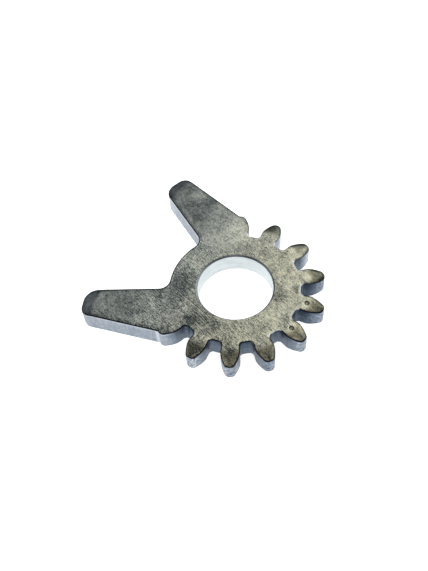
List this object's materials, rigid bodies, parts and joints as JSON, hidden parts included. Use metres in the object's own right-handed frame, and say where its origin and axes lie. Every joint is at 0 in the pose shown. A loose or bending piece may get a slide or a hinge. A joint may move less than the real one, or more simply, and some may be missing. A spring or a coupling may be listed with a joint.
{
  "type": "sector gear",
  "caption": "Flat blanked steel sector gear with involute teeth in front of a plain pivot bore and two tapered arms splayed out behind it.",
  "frame": {"origin": "centre of the bore, at the middle of the plate's thickness", "axes": "+Z along the bore axis, out of the face with the rolled edges; +X towards the middle of the teeth; the arms point to -X"},
  "size_m": [0.0571, 0.0524, 0.006],
  "materials": {
    "steel": "bare tumbled steel, satin, darker where the punched edges roll over"
  },
  "bodies": {
    "root": {"sector_gear": "steel"}
  },
  "joints": []
}
